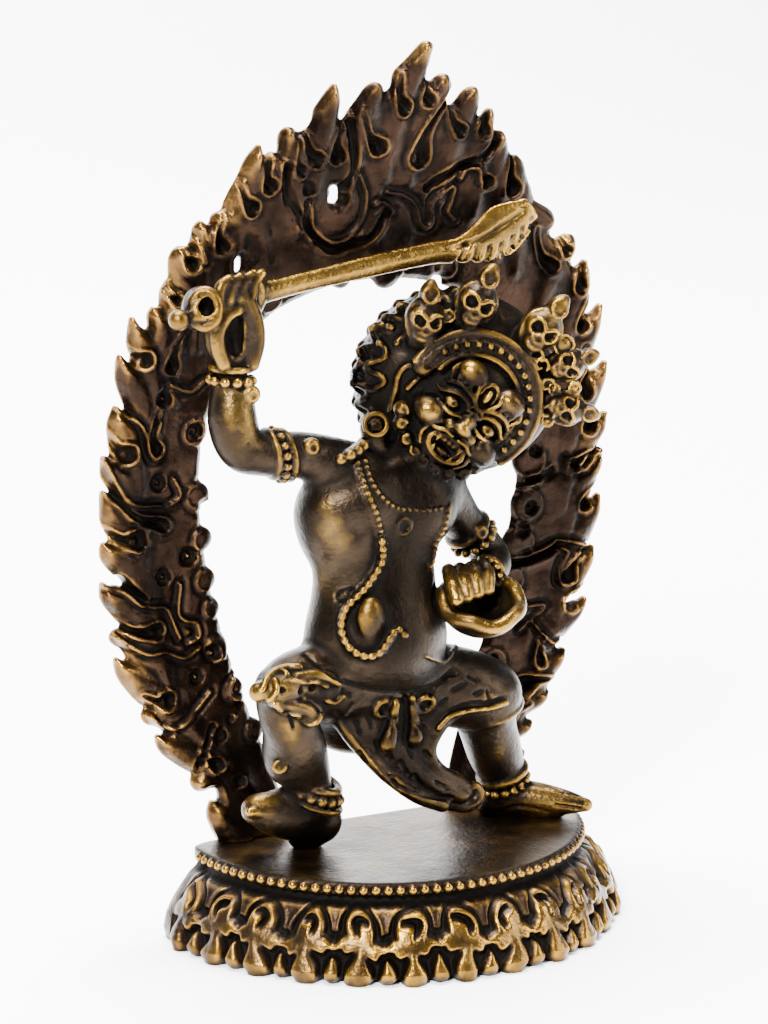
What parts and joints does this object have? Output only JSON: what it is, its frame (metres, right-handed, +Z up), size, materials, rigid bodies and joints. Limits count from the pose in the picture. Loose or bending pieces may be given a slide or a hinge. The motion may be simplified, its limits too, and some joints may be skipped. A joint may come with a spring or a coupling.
{
  "type": "wrathful deity statuette with flame aureole",
  "caption": "Small cast brass figure of a striding wrathful deity with raised sword and skull cup, before a flame aureole on a lotus base; a standing ornament.",
  "frame": {"origin": "middle of the flat underside of the base", "axes": "+Z up, -Y towards the front that the figure faces, +X towards the figure's left"},
  "size_m": [0.0606, 0.0311, 0.0943],
  "materials": {
    "base_brass": "dark patinated cast brass, rubbed bright on the raised edges",
    "figure_brass": "dark patinated cast brass, worn to olive and gold on limbs, sword and cup",
    "aureole_brass": "dark patinated cast brass, rubbed bright with a copper tinge on the flame tips"
  },
  "bodies": {
    "root": {"lotus_base": "base_brass", "figure": "figure_brass", "flame_aureole": "aureole_brass"}
  },
  "joints": []
}
